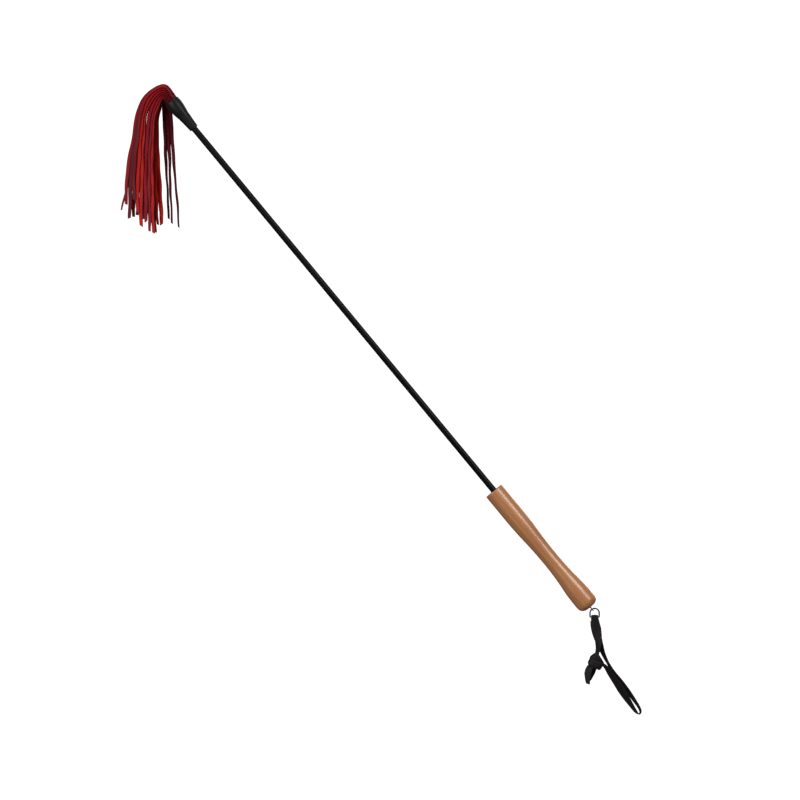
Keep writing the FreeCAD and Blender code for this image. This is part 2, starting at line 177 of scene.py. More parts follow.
def makeObject(name, vertices, faces, material, sharp=40.0):
    mesh = bpy.data.meshes.new(name)
    mesh.from_pydata([tuple(v) for v in vertices], [], faces)
    mesh.validate()
    mesh.shade_smooth()
    mesh.set_sharp_from_angle(angle=math.radians(sharp))
    mesh.materials.append(material)
    made = bpy.data.objects.new(name, mesh)
    bpy.context.scene.collection.objects.link(made)
    return made


def lathe(name, profile, segments, at, material):
    # profile: (radius, distance from at towards the collar), in mm, outside to the left of its run
    vertices, rings, faces = [], [], []
    for radius, along in profile:
        if radius == 0:
            rings.append([len(vertices)] * segments)
            vertices.append(stick @ Vector((0, 0, at + along)) * mm)
            continue
        rings.append(list(range(len(vertices), len(vertices) + segments)))
        for step in range(segments):
            angle = 2 * math.pi * step / segments
            point = Vector((radius * math.cos(angle), radius * math.sin(angle), at + along))
            vertices.append(stick @ point * mm)
    closed = profile[0][0] != 0
    for number in range(len(rings) if closed else len(rings) - 1):
        first, second = rings[number], rings[(number + 1) % len(rings)]
        for step in range(segments):
            after = (step + 1) % segments
            corners = [first[step], first[after], second[after], second[step]]
            faces.append(tuple(dict.fromkeys(corners)))
    return makeObject(name, vertices, faces, material)


gripLook = {
    "light": (0.68, 0.31, 0.115),
    "middle": (0.55, 0.22, 0.073),
    "dark": (0.34, 0.12, 0.038),
    "pore": (0.13, 0.04, 0.018),
    "blotch": (0.50, 0.17, 0.10),
    "coat": 0.85,
    "segments": 96,
}
# The turned outline of the grip, in distances from its front face: tangent arcs round the waist, and a
# rounded butt. Both ends are bored, for the shaft and for the screw eye.
frontRadius = 10.25
straightTo = 30
waistAt = 88
waistRadius = 8.3
bulgeAt = 138
bulgeRadius = 11.1
roundingAt = 144
buttRounding = 7
gripLength = 151
frontCurve = 431.8
hollowCurve = 297.8
bulgeCurve = 150.0
frontTurn = 59  # where one arc gives way to the next
bulgeTurn = 121.25
sleeveInGrip = 60
coreInGrip = 80
eyeHoleRadius = 0.9
eyeHoleDepth = 14.0


def woodMaterial():
    shader = Shader("lacquered wood")
    x, y, z = shader.split(shader.onStick())
    drift = shader.noise(shader.join(x * 0.03, y * 0.03, z * 0.012), 1.0, 2.0)
    ringX = x + 11.0 + drift * 9.0
    ringY = y - 6.0 + drift * 5.0
    radius = (ringX * ringX + ringY * ringY).maths("SQRT")
    rings = (radius * 1.35 + z * 0.004).maths("SINE") * 0.5 + 0.5
    streaks = shader.noise(shader.join(x * 0.9, y * 0.9, z * 0.022), 1.0, 5.0, 0.6)
    fine = shader.noise(shader.join(x * 4.2, y * 4.2, z * 0.10), 1.0, 3.0, 0.6)
    pores = shader.noise(shader.join(x * 3.4, y * 3.4, z * 0.16), 1.0, 1.0).between(0.66, 0.76)
    blotch = shader.noise(shader.join(x * 0.08, y * 0.08, z * 0.028), 1.0, 2.0)
    colour = shader.mix(streaks.between(0.3, 0.72), gripLook["middle"], gripLook["light"])
    colour = shader.mix(rings * 0.26, colour, gripLook["dark"])
    colour = shader.mix(fine.between(0.42, 0.8) * 0.28, colour, gripLook["dark"])
    colour = shader.mix(pores * 0.42, colour, gripLook["pore"])
    colour = shader.mix(blotch.between(0.35, 0.75) * 0.3, colour, gripLook["blotch"])
    smear = shader.noise(shader.place(), 0.05, 4.0)
    height = fine * 0.25 + pores * -0.6
    return shader.set(
        Base_Color=colour,
        Roughness=smear * 0.16 + 0.34,
        Coat_Weight=gripLook["coat"],
        Coat_Roughness=0.2,
        Coat_IOR=1.5,
        Normal=shader.bump(height, 0.04, 0.5),
    )


def arcDrop(radius, away):
    # how far an arc has left its tangent, that far away from where it touches it
    return radius - math.sqrt(radius**2 - away**2)


def gripRadius(s):
    if s < straightTo:
        return frontRadius
    if s < frontTurn:
        return frontRadius - arcDrop(frontCurve, s - straightTo)
    if s < waistAt:
        return waistRadius + arcDrop(frontCurve, s - waistAt)
    if s < bulgeTurn:
        return waistRadius + arcDrop(hollowCurve, s - waistAt)
    if s < bulgeAt:
        return bulgeRadius - arcDrop(bulgeCurve, s - bulgeAt)
    return bulgeRadius


def makeGrip(material):
    outline = [(0, -coreInGrip), (coreRadius, -coreInGrip)]
    outline += [(coreRadius, -sleeveInGrip), (sleeveRadius, -sleeveInGrip)]
    outline += [(sleeveRadius, -0.4), (3.5, 0), (9.75, 0), (10.1, -0.12)]
    outline += [(gripRadius(s), -float(s)) for s in [0.5, *range(2, roundingAt, 2)]]
    for step in range(13):
        angle = math.radians(90 * step / 12)
        across = bulgeRadius - buttRounding + buttRounding * math.cos(angle)
        outline.append((across, -roundingAt - buttRounding * math.sin(angle)))
    outline += [(1.15, -gripLength), (eyeHoleRadius, 0.2 - gripLength)]
    outline += [(eyeHoleRadius, eyeHoleDepth - gripLength), (0, eyeHoleDepth - gripLength)]
    grip = lathe("grip", outline, gripLook["segments"], gripFront, material)
    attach(grip, "stick")
    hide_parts("wooden_grip")
    print("grip turned")


collarLook = {
    "colour": (0.007, 0.007, 0.008),
    "cloud": (0.014, 0.011, 0.010),
    "scuff": (0.03, 0.03, 0.032),
    "roughness": 0.42,
    "segments": 80,
    "dotsAround": 30,
    "dotPitch": 0.95,
    "dotRelief": 0.12,
}


def collarMaterial():
    shader = Shader("black rubber")
    x, y, z = shader.split(shader.onStick())
    cloud = shader.noise(shader.join(x * 0.25, y * 0.25, z * 0.12), 1.0, 4.0)
    grain = shader.noise(shader.join(x * 3.0, y * 3.0, z * 3.0), 1.0, 2.0)
    warm = shader.mix(cloud.between(0.4, 0.7), collarLook["colour"], collarLook["cloud"])
    scuffs = shader.noise(shader.join(x * 1.4, y * 1.4, z * 0.35), 1.0, 4.0, 0.65).between(0.62, 0.74)
    return shader.set(
        Base_Color=shader.mix(scuffs * 0.3, warm, collarLook["scuff"]),
        Roughness=cloud * 0.16 + scuffs * 0.12 + (collarLook["roughness"] - 0.06),
        Specular_IOR_Level=0.22,
        Normal=shader.bump(grain, 0.03, 0.4),
    )


def collarOutline():
    # (radius, distance from the mouth), from the mouth back along the outside and home along the bore
    outside = [(6.6, 0), (7.0, 0.12), (7.3, -0.1), (7.45, -0.6), (7.6, -1.5), (7.78, -3.0), (7.88, -4.5)]
    outside += [(7.86, -6.5), (7.7, -8.5), (7.45, -10.5), (7.12, -12.8), (6.74, -15.0), (6.34, -17.0)]
    outside += [(5.98, -19.0), (5.66, -21.5), (5.38, -24.0), (5.12, -27.0), (4.86, -30.0)]
    outside += [(4.66, -33.0), (4.54, -34.9), (4.4, 0.15 - collarLength), (4.1, -collarLength)]
    inside = [(3.4, -collarLength), (sleeveRadius, 0.2 - collarLength), (sleeveRadius, -15)]
    inside += [(6.9, -10), (6.9, -1.5), (6.6, -1.1)]
    return outside + inside


def makeCollar(material):
    outline = list(reversed(collarOutline()))
    collar = lathe("collar", outline, collarLook["segments"], mouthAt, material)
    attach(collar, "stick")
    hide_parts("strand_collar")
    print("collar made")


sleeveLook = {
    "colour": (0.003, 0.003, 0.0036),
    "worn": (0.009, 0.009, 0.010),
    "roughness": 0.23,
    "around": 10,
    "pitch": 1.5,
    "relief": 0.07,
}


def sleeveMaterial():
    shader = Shader("black braid")
    x, y, z = shader.split(shader.onStick())
    worn = shader.noise(shader.join(x * 0.6, y * 0.6, z * 0.05), 1.0, 3.0)
    thread = shader.noise(shader.join(x * 5.0, y * 5.0, z * 5.0), 1.0, 2.0)
    return shader.set(
        Base_Color=shader.mix(worn * 0.6, sleeveLook["colour"], sleeveLook["worn"]),
        Roughness=worn * 0.2 + (sleeveLook["roughness"] - 0.08),
        Specular_IOR_Level=0.1,
        Normal=shader.bump(thread, 0.03, 0.35),
    )


def braidGroup():
    # Lozenges in staggered rows round a tube whose radius runs from one end to the other.
    group = bpy.data.node_groups.new("lozenge rows", "GeometryNodeTree")
    sockets = {}
    for name, kind in (
        ("Around", "NodeSocketInt"),
        ("Rows", "NodeSocketInt"),
        ("Pitch", "NodeSocketFloat"),
        ("Start radius", "NodeSocketFloat"),
        ("End radius", "NodeSocketFloat"),
        ("Lozenge", "NodeSocketVector"),
        ("Slant", "NodeSocketFloat"),
        ("Material", "NodeSocketMaterial"),
    ):
        sockets[name] = group.interface.new_socket(name, in_out="INPUT", socket_type=kind).identifier
    group.interface.new_socket("Geometry", in_out="OUTPUT", socket_type="NodeSocketGeometry")
    given = group.nodes.new("NodeGroupInput")

    def node(kind, settings=None, inputs=(), output=0):
        made = group.nodes.new(kind)
        for name, value in (settings or {}).items():
            setattr(made, name, value)
        pairs = inputs.items() if isinstance(inputs, dict) else enumerate(inputs)
        for key, value in pairs:
            if isinstance(value, bpy.types.NodeSocket):
                group.links.new(value, made.inputs[key])
            else:
                made.inputs[key].default_value = value
        return made.outputs[output]

    def maths(operation, *values):
        return node("ShaderNodeMath", {"operation": operation}, values)

    around, rows = given.outputs["Around"], given.outputs["Rows"]
    count = maths("MULTIPLY", around, rows)
    points = node("GeometryNodePoints", None, {"Count": count})
    index = node("GeometryNodeInputIndex")
    row = maths("FLOOR", maths("DIVIDE", index, around))
    column = maths("MODULO", index, around)
    odd = maths("MODULO", row, 2.0)
    turn = maths("ADD", column, maths("MULTIPLY", odd, 0.5))
    angle = maths("MULTIPLY", maths("DIVIDE", turn, around), 2 * math.pi)
    share = maths("DIVIDE", row, rows)
    growth = maths("SUBTRACT", given.outputs["End radius"], given.outputs["Start radius"])
    grown = maths("MULTIPLY", growth, share)
    radius = maths("ADD", given.outputs["Start radius"], grown)
    place = node(
        "ShaderNodeCombineXYZ",
        None,
        [
            maths("MULTIPLY", radius, maths("COSINE", angle)),
            maths("MULTIPLY", radius, maths("SINE", angle)),
            maths("MULTIPLY", row, given.outputs["Pitch"]),
        ],
    )
    moved = node("GeometryNodeSetPosition", None, {"Geometry": points, "Position": place})
    lean = maths("MULTIPLY", maths("SUBTRACT", maths("MULTIPLY", odd, 2.0), 1.0), given.outputs["Slant"])
    aim = node("FunctionNodeAxisAngleToRotation", None, {"Axis": (1.0, 0.0, 0.0), "Angle": lean})
    spin = node("FunctionNodeAxisAngleToRotation", None, {"Axis": (0.0, 0.0, 1.0), "Angle": angle})
    turned = node("FunctionNodeRotateRotation", {"rotation_space": "LOCAL"}, {0: spin, 1: aim})
    ball = node("GeometryNodeMeshUVSphere", None, {"Segments": 8, "Rings": 5, "Radius": 1.0})
    shaped = node("GeometryNodeTransform", None, {"Geometry": ball, "Scale": given.outputs["Lozenge"]})
    placed = node(
        "GeometryNodeInstanceOnPoints", None, {"Points": moved, "Instance": shaped, "Rotation": turned}
    )
    real = node("GeometryNodeRealizeInstances", None, [placed])
    smooth = node("GeometryNodeSetShadeSmooth", None, [real])
    paint = {"Geometry": smooth, "Material": given.outputs["Material"]}
    painted = node("GeometryNodeSetMaterial", None, paint)
    output = group.nodes.new("NodeGroupOutput")
    group.links.new(painted, output.inputs[0])
    return group, sockets


def lozengeRows(name, groupAndSockets, start, values, material):
    # start: distance along the shaft in mm of the first row
    group, sockets = groupAndSockets
    seed = bpy.data.objects.new(name + " seed", bpy.data.meshes.new(name + " seed"))
    bpy.context.scene.collection.objects.link(seed)
    modifier = seed.modifiers.new("rows", "NODES")
    modifier.node_group = group
    for key, value in {**values, "Material": material}.items():
        modifier[sockets[key]] = value
    bpy.context.view_layer.update()
    made = bpy.data.objects.new(name, bpy.data.meshes.new_from_object(evaluated(seed)))
    bpy.data.objects.remove(seed)
    made.data.name = name
    made.data.transform(stick @ Matrix.Translation((0, 0, start * mm)))
    bpy.context.scene.collection.objects.link(made)
    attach(made, "stick")
    return made


def makeBraid(braidMaterial, rubber):
    group = braidGroup()
    pitch = sleeveLook["pitch"]
    relief = sleeveLook["relief"]
    values = {
        "Around": sleeveLook["around"],
        "Rows": int((mouthAt - collarLength + 0.5 - 74.0) / pitch),
        "Pitch": pitch * mm,
        "Start radius": (sleeveRadius - 0.09) * mm,
        "End radius": (sleeveRadius - 0.09) * mm,
        "Lozenge": (relief * 1.3 * mm, 0.98 * mm, 0.86 * mm),
        "Slant": 0.7,
    }
    lozengeRows("shaft_braid", group, gripFront - 0.6, values, braidMaterial)
    dots = collarLook["dotPitch"]
    values = {
        "Around": collarLook["dotsAround"],
        "Rows": int(15.2 / dots),
        "Pitch": dots * mm,
        "Start radius": 4.55 * mm,
        "End radius": 5.9 * mm,
        "Lozenge": (collarLook["dotRelief"] * mm, 0.34 * mm, 0.36 * mm),
        "Slant": 0.0,
    }
    lozengeRows("collar_weave", group, mouthAt - collarLength + 0.9, values, rubber)
    print("braid and weave laid")


hardwareLook = {
    "bronze": (0.035, 0.03, 0.025),
    "bronzeWorn": (0.12, 0.10, 0.08),
    "steel": (0.30, 0.29, 0.27),
    "steelWorn": (0.5, 0.48, 0.45),
    # fibreglass and thread are painted far darker than the real core and whipping, as painted shade deep in
    # the collar among the strand roots
    "fibreglass": (0.05, 0.045, 0.035),
    "thread": (0.02, 0.016, 0.014),
}


def metalMaterial(name, colour, worn, roughness):
    shader = Shader(name)
    patina = shader.noise(shader.place(), 0.9, 4.0, 0.6)
    return shader.set(
        Base_Color=shader.mix(patina.between(0.45, 0.68), colour, worn),
        Metallic=1.0,
        Roughness=patina * 0.22 + roughness,
        Normal=shader.bump(shader.noise(shader.place(), 4.0), 0.02, 0.4),
    )


def plainMaterial(name, colour, roughness):
    shader = Shader(name)
    tone = shader.noise(shader.place(), 0.7)
    darker = tuple(c * 0.7 for c in colour)
    return shader.set(Base_Color=shader.mix(tone, darker, colour), Roughness=roughness)


waveStart = 28.0  # mm from the root before the waves begin
waveGrowth = 60.0
edgeAt = 0.93  # share of the half width where the cut edge rounds off
edgeThickness = 0.82
pinchLength = 2.0  # the last mm of a strip are a little narrower
slantLength = 5.0  # and are cut on the slant over this length


def routeLine(route):
    # points of a smooth line along the route, and how far along the route each lies, in route steps
    curve = bpy.data.curves.new("route", "CURVE")
    curve.dimensions = "3D"
    curve.resolution_u = 14
    spline = curve.splines.new("NURBS")
    spline.points.add(len(route) - 1)
    for point, corner in zip(spline.points, route):
        point.co = (*corner, 1.0)
    spline.order_u = 3
    spline.use_endpoint_u = True
    holder = bpy.data.objects.new("route", curve)
    bpy.context.scene.collection.objects.link(holder)
    bpy.context.view_layer.update()
    mesh = bpy.data.meshes.new_from_object(evaluated(holder))
    line = [v.co.copy() for v in mesh.vertices]
    bpy.data.objects.remove(holder)
    bpy.data.meshes.remove(mesh)
    spans = len(route) - 2
    places = []
    for number in range(len(line)):
        along = spans * number / (len(line) - 1)
        if along < 0.5:
            places.append(2 * along)
        elif along > spans - 0.5:
            places.append(len(route) - 1 - 2 * (spans - along))
        else:
            places.append(along + 0.5)
    return line, places


def lookUp(table, place):
    low = min(int(place), len(table) - 2)
    share = min(max(place - low, 0.0), 1.0)
    return table[low] * (1 - share) + table[low + 1] * share


def ribbon(name, route, widthways, widths, look, material, slot, chance, wave=0.0, slant=0.0, tone=0.5):
    # route in mm; widthways: direction of the width at each of its points; widths in mm likewise
    line, places = routeLine(route)
    phases = [chance.uniform(0, 2 * math.pi) for _ in range(4)]
    lengths = [chance.uniform(24, 34), chance.uniform(38, 60)]
    run, total = [0.0], 0.0
    for before, after in zip(line, line[1:]):
        total += (after - before).length
        run.append(total)
    centres, frames = [], []
    for number, point in enumerate(line):
        ahead = line[min(number + 1, len(line) - 1)] - line[max(number - 1, 0)]
        ahead.normalize()
        side = lookUp(widthways, places[number])
        side = (side - ahead * side.dot(ahead)).normalized()
        face = ahead.cross(side)
        grow = wave * min(max((run[number] - waveStart) / waveGrowth, 0.0), 1.0)
        sideways = grow * math.sin(2 * math.pi * run[number] / lengths[0] + phases[0])
        facing = grow * 0.8 * math.sin(2 * math.pi * run[number] / lengths[1] + phases[1])
        turn = grow * 0.35 * math.sin(2 * math.pi * run[number] / lengths[1] + phases[2])
        leaning = side * math.cos(turn) + face * math.sin(turn)
        side, face = leaning, face * math.cos(turn) - side * math.sin(turn)
        centres.append(point + side * sideways + face * facing)
        frames.append((ahead, side, face))
    thick, cup = look["thickness"] / 2, look["cup"]
    top = [(u, 1) for u in (-edgeAt, -0.5, 0.0, 0.5, edgeAt)]
    bottom = [(u, -1) for u in (edgeAt, 0.5, 0.0, -0.5, -edgeAt)]
    stops = [*top, (1.0, 0), *bottom, (-1.0, 0)]
    vertices, across, faceSide, tones = [], [], [], []
    for number, centre in enumerate(centres):
        ahead, side, face = frames[number]
        half = lookUp(widths, places[number]) / 2
        half *= 1 + 0.04 * math.sin(run[number] / 7.0 + phases[3])
        left = total - run[number]
        pinch = 0.9 + 0.1 * min(left / pinchLength, 1.0)
        skew = slant * max(1 - left / slantLength, 0.0)
        for u, v in stops:
            rise = cup * (1 - u * u) + thick * v * (edgeThickness if abs(u) >= edgeAt else 1.0)
            point = centre + side * (half * pinch * u) + face * rise + ahead * (skew * u * half)
            vertices.append(point * mm)
            across.append(u)
            faceSide.append(1.0 if v > 0 else 0.0)
            tones.append(tone)
    ring = len(stops)
    faces = []
    for number in range(len(centres) - 1):
        for step in range(ring):
            a = number * ring + step
            b = number * ring + (step + 1) % ring
            faces.append((a, b, b + ring, a + ring))
    faces.append(tuple(range(ring - 1, -1, -1)))
    last = (len(centres) - 1) * ring
    faces.append(tuple(range(last, last + ring)))
    made = makeObject(name, vertices, faces, material, 55.0)
    for key, values in (("across", across), ("face", faceSide), ("tone", tones)):
        layer = made.data.attributes.new(key, "FLOAT", "POINT")
        layer.data.foreach_set("value", values)
    return made, [c * mm for c in centres], total * mm


def directions(route):
    found = []
    for number in range(len(route)):
        before, after = route[max(number - 1, 0)], route[min(number + 1, len(route) - 1)]
        found.append((after - before).normalized())
    return found


def turned(angle, direction):
    # 0 is along the row's Y axis, edge-on from the front; 90 is face-on
    inPlane = direction.cross(depth).normalized()
    return depth * math.cos(math.radians(angle)) + inPlane * math.sin(math.radians(angle))


strandLook = {
    "thickness": 0.85,
    "cup": 0.22,
    "wave": 0.34,
    "backWave": 0.25,
    "twist": 11.0,
    "slant": 0.7,
    "seed": 7,
    "red_leather": (0.31, 0.005, 0.0125),
    # The darker and the brighter red below are partly the leathers' own tones and partly painted shade and
    # painted light, for strands lying in shadow and in light.
    "dark_red_leather": (0.135, 0.003, 0.0075),
    "bright_red_leather": (0.50, 0.009, 0.004),
    # colour of the dark cut edges, also spread over the outer band of each face as painted shade between
    # strands
    "edge": (0.03, 0.003, 0.005),
}
# Corners of the inside and outside routes of the arch, (x, z) from where the strands bend, and where
# the hanging length ends up. A strand between them takes its share of each.
archInside = [(-6.0, -0.4), (-8.4, -2.4), (-9.5, -9.5), (-12.5, -17.5), (-13.3, -27.0)]
archOutside = [(-3.9, 15.9), (-15.8, 11.0), (-26.4, 1.8), (-31.4, -11.0), (-33.9, -26.0)]
rootPitch = 1.15  # from row to row inside the collar
mouthPitch = 1.5
mouthSpread = 1.2
rowsAcross = 9.0
hangInside = [-12.0, -9.6, -7.8]
hangOutside = [-39.2, -43.2, -43.9]
hangShare = [0.33, 0.67, 1.0]
spread = [1.15, 1.4, 1.7, 1.9, 1.9, 1.9, 1.9, 1.9]
frontFan = [1.3, 1.4, 1.25, 1.1, 1.0]
parting = [0.0, 0.0, 0.4, 1.15, 1.5]
tipWidths = {2: 2.6, 6: 4.2, 7: 3.0, 10: 1.6, 11: 2.2}
# The darker and brighter leathers in this table partly stand for painted shade and painted light on strands
# in shadow and in light.
# row, depth of the root, drop to the tip, stray of the tip, width, tone of its own, leather
mainStrands = [
    (-2.5, -3.75, 134.5, 0.0, 4.6, 0.45, "bright_red_leather"),
    (-1.5, -3.75, 132.8, 0.5, 4.8, 0.20, "red_leather"),
    (-0.5, -3.75, 123.0, 1.0, 4.6, 0.30, "red_leather"),
    (0.5, -3.75, 127.6, -0.5, 4.4, 0.55, "bright_red_leather"),
    (1.5, -3.75, 113.6, 0.0, 4.8, 0.80, "bright_red_leather"),
    (2.5, -3.75, 101.0, 0.5, 3.8, 0.95, "dark_red_leather"),
    (-3.5, -1.85, 126.0, 0.0, 4.0, 0.60, "bright_red_leather"),
    (3.5, -1.85, 119.6, 0.0, 4.4, 0.60, "dark_red_leather"),
    (-3.6, 1.85, 112.0, 2.0, 3.8, 0.20, "dark_red_leather"),
    (3.5, 1.85, 111.0, -8.5, 3.6, 0.55, "red_leather"),
    (-2.5, 0.0, 133.5, 2.0, 4.0, 0.30, "dark_red_leather"),
    (2.5, 0.0, 118.0, -0.5, 4.2, 0.40, "red_leather"),
    (-4.5, 0.0, 125.6, 0.0, 4.8, 0.85, "bright_red_leather"),
    (4.5, 0.0, 105.5, 0.0, 4.4, 0.75, "red_leather"),
    (0.5, 3.75, 120.0, 1.0, 4.2, 0.30, "dark_red_leather"),
    (1.5, 3.75, 116.0, -1.0, 4.2, 0.40, "dark_red_leather"),
    (2.5, 3.75, 108.0, 0.0, 4.2, 0.30, "red_leather"),
]
strandTurns = {
    -3.75: [0, -24, -44, -52, -56, -58, -60, -62, -66, -68],
    -1.85: [0, -12, -28, -36, -44, -50, -54, -58, -62, -64],
    0.0: [0, -8, -20, -28, -38, -48, -54, -58, -62, -64],
    1.85: [0, 0, -8, -14, -24, -36, -46, -54, -60, -62],
    3.75: [0, 0, -8, -14, -24, -36, -46, -54, -60, -62],
}
backRow = -1.6
# depth of the root, and the points after the mouth, from where the strands bend
backStrands = [
    (
        4.9,
        [(-3.6, 5.1, 1.9), (-3.5, 9.9, 2.0), (-0.4, 10.6, -7.0), (0.8, 10.6, -20.0),
         (2.2, 10.6, -42.0), (4.2, 10.6, -72.0), (6.9, 10.5, -99.0), (8.7, 10.5, -128.0)],
    ),
    (
        3.75,
        [(-4.5, 4.0, 2.9), (-5.2, 10.8, 4.1), (-3.4, 11.8, -6.0), (-2.5, 11.8, -20.0),
         (-1.3, 11.8, -42.0), (-0.4, 11.7, -72.0), (0.3, 11.6, -98.0), (1.9, 11.5, -124.0)],
    ),
    (
        2.6,
        [(-5.2, 2.8, 3.8), (-7.2, 11.7, 5.6), (-6.8, 13.0, -5.0), (-5.9, 13.0, -20.0),
         (-5.0, 12.9, -42.0), (-4.2, 12.8, -70.0), (-2.6, 12.7, -96.0), (-1.5, 12.6, -119.5)],
    ),
]
backTurns = [88, 86, 72, 40, 30, 28]


def redLeather(slot):
    # Grain side smooth, flesh side duller and napped; face edges darkened nearly black, partly the dark cut
    # edge and partly painted shade between strands.
    shader = Shader(slot.replace("_", " "))
    tone = strandLook[slot]
    across = shader.attribute("across").maths("ABSOLUTE")
    face = shader.attribute("face")
    own = shader.attribute("tone")
    point = shader.place()
    x, y, z = shader.split(point)
    long = shader.noise(shader.join(x * 0.5, y * 0.5, z * 0.05), 1.0, 4.0, 0.55)
    nap = shader.noise(shader.join(x * 2.2, y * 2.2, z * 0.7), 1.0, 4.0, 0.65)
    pebble = shader.node(
        "ShaderNodeTexVoronoi", {"feature": "SMOOTH_F1"}, {"Vector": point, "Scale": 1.9, "Smoothness": 0.6}
    )
    light = tuple(min(1.0, c * 1.35 + 0.006) for c in tone)
    dull = (tone[0] * 0.55 + 0.006, tone[1] * 0.7 + 0.001, tone[2] * 0.8 + 0.004)
    colour = shader.mix(own, dull, light)
    colour = shader.mix(long.between(0.3, 0.7), colour, tone)
    colour = shader.mix(z.between(412.0, 452.0) * 0.75, colour, strandLook["red_leather"])
    colour = shader.mix(nap.between(0.45, 0.8) * 0.35, colour, dull)
    colour = shader.mix(face * 0.45, colour, dull)
    # painted shade: the outer band of each face is darkened towards the edge colour, well beyond the dark
    # cut edge itself
    colour = shader.mix(across.between(0.6, 0.95) * 0.88, colour, strandLook["edge"])
    height = pebble * 0.7 + nap * 0.5
    return shader.set(
        Base_Color=colour,
        Roughness=face * 0.12 + nap * 0.2 + 0.46,
        Sheen_Weight=0.04,
        Sheen_Roughness=0.4,
        Sheen_Tint=(0.9, 0.25, 0.32, 1.0),
        Specular_IOR_Level=0.14,
        Normal=shader.bump(height, 0.10, 0.5),
    )


def bendPoint(row, rootDepth, ahead):
    return bendStart + acrossShaft * row + depth * rootDepth + alongShaft * ahead


def mainRoute(row, rootDepth, drop, stray):
    root = bendPoint(row * rootPitch, rootDepth, -rootDepthInside)
    route = [root, bendPoint(row * mouthPitch, rootDepth * mouthSpread, 0.0)]
    corners = []
    for number, (inner, outer) in enumerate(zip(archInside, archOutside)):
        fan = frontFan[number] if rootDepth < -3 else 1.0
        share = 0.5 + row / rowsAcross * fan
        apart = parting[number] * math.copysign(1 - abs(row) / 5.5, row)
        x = inner[0] + (outer[0] - inner[0]) * share - apart
        corners.append((x, inner[1] + (outer[1] - inner[1]) * share))
    share = 0.5 + row / rowsAcross
    fall = corners[4][1]
    for number, down in enumerate(hangShare):
        x = hangInside[number] + (hangOutside[number] - hangInside[number]) * share
        corners.append((x + stray * down**3, fall - (drop + fall) * down))
    for (x, z), grown in zip(corners, spread):
        route.append(bendStart + Vector((x, rootDepth * grown, z)))
    return route


def declareStrand(made):
    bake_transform(made)


def makeStrands(leathers):
    chance = random.Random(strandLook["seed"])
    for number, (row, rootDepth, drop, stray, width, tone, slot) in enumerate(mainStrands, start=1):
        route = mainRoute(row, rootDepth, drop, stray)
        twist = chance.uniform(-strandLook["twist"], strandLook["twist"])
        angles = [a + twist * min(k, 5) / 5 for k, a in enumerate(strandTurns[rootDepth])]
        widthways = [turned(a, d) for a, d in zip(angles, directions(route))]
        widths = [3.5, 3.6, 3.8, 3.9, width - 0.2, width, width, width, width * 0.98]
        widths.append(tipWidths.get(number, width * 0.82))
        name = f"leather_strand_{number:02d}"
        slant = chance.uniform(-strandLook["slant"], strandLook["slant"])
        looks = (strandLook, leathers[slot], slot, chance, strandLook["wave"], slant, tone)
        made, path, length = ribbon(name, route, widthways, widths, *looks)
        declareStrand(made)
        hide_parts(f"strand_{number:02d}")
    for number, (rootDepth, after) in enumerate(backStrands, start=18):
        route = [bendPoint(backRow, rootDepth, -rootDepthInside), bendPoint(backRow, rootDepth, 0.0)]
        route += [bendStart + Vector(p) for p in after]
        widthways = [acrossShaft, acrossShaft, acrossShaft, Vector((1, 0, 0.35))]
        widthways += [turned(a, Vector((0, 0, -1))) for a in backTurns]
        widths = [3.1, 3.1, 3.3, 3.6, 3.8, 3.9, 3.9, 3.6, 3.5, 3.2]
        # the back strands take the darker red, partly as painted shade for the back of the tassel
        slot = "dark_red_leather"
        looks = (strandLook, leathers[slot], slot, chance, strandLook["backWave"], 0.4, 0.5)
        made, path, length = ribbon(f"leather_strand_{number}", route, widthways, widths, *looks)
        declareStrand(made)
        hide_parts(f"strand_{number}")
    print("strands hung")


laceLook = {
    "colour": (0.0065, 0.0042, 0.006),
    "soft": (0.012, 0.0085, 0.011),
    "crease": (0.022, 0.016, 0.02),
    "edge": (0.008, 0.007, 0.007),
    "width": 7.8,
    "thickness": 1.2,
    "cup": 0.12,
    "seed": 3,
}
# points, how the width is turned, and the width
laceFront = [
    ((52.8, 1.6, -72.4), 90, 7.6),
    ((52.8, 1.65, -67.85), 90, 7.1),
    ((52.8, 0.0, -66.75), 90, 7.1),
    ((52.8, -1.65, -67.85), 90, 7.2),
    ((54.2, -1.4, -80.2), 94, 9.9),
    ((56.9, -1.8, -92.4), 122, 7.8),
    ((56.0, -2.2, -103.6), 150, 7.0),
    ((50.8, -2.5, -115.4), 130, 7.4),
    ((44.8, -2.6, -123.0), 112, 7.4),
    ((46.2, -2.0, -135.4), 112, 4.2),
]
laceLoop = [
    ((52.8, 1.6, -72.4), 90, 8.2),
    ((53.2, 1.6, -78.4), 90, 8.8),
    ((55.2, 1.6, -86.8), 102, 8.8),
    ((58.2, 1.6, -96.0), 130, 8.6),
    ((61.0, 1.2, -104.4), 152, 8.0),
    ((65.6, 0.8, -114.0), 164, 7.6),
    ((71.6, 0.4, -123.8), 158, 7.8),
    ((78.4, 0.0, -131.8), 151, 7.8),
    ((85.4, 0.0, -141.6), 150, 7.9),
    ((92.4, 0.0, -151.6), 154, 7.6),
    ((99.4, 0.0, -162.2), 164, 7.2),
    ((97.4, 0.0, -166.6), 178, 7.4),
    ((93.4, 0.0, -163.0), 204, 7.8),
    ((86.2, 0.0, -151.8), 222, 8.6),
    ((79.4, 0.0, -141.6), 233, 8.6),
    ((73.0, 0.2, -131.8), 228, 8.4),
    ((68.2, 0.5, -125.0), 222, 8.0),
    ((62.6, 1.4, -116.4), 205, 7.6),
    ((55.0, 3.0, -114.6), 230, 7.4),
    ((50.4, 3.8, -123.2), 245, 7.2),
    ((47.2, 3.8, -132.4), 245, 4.4),
]


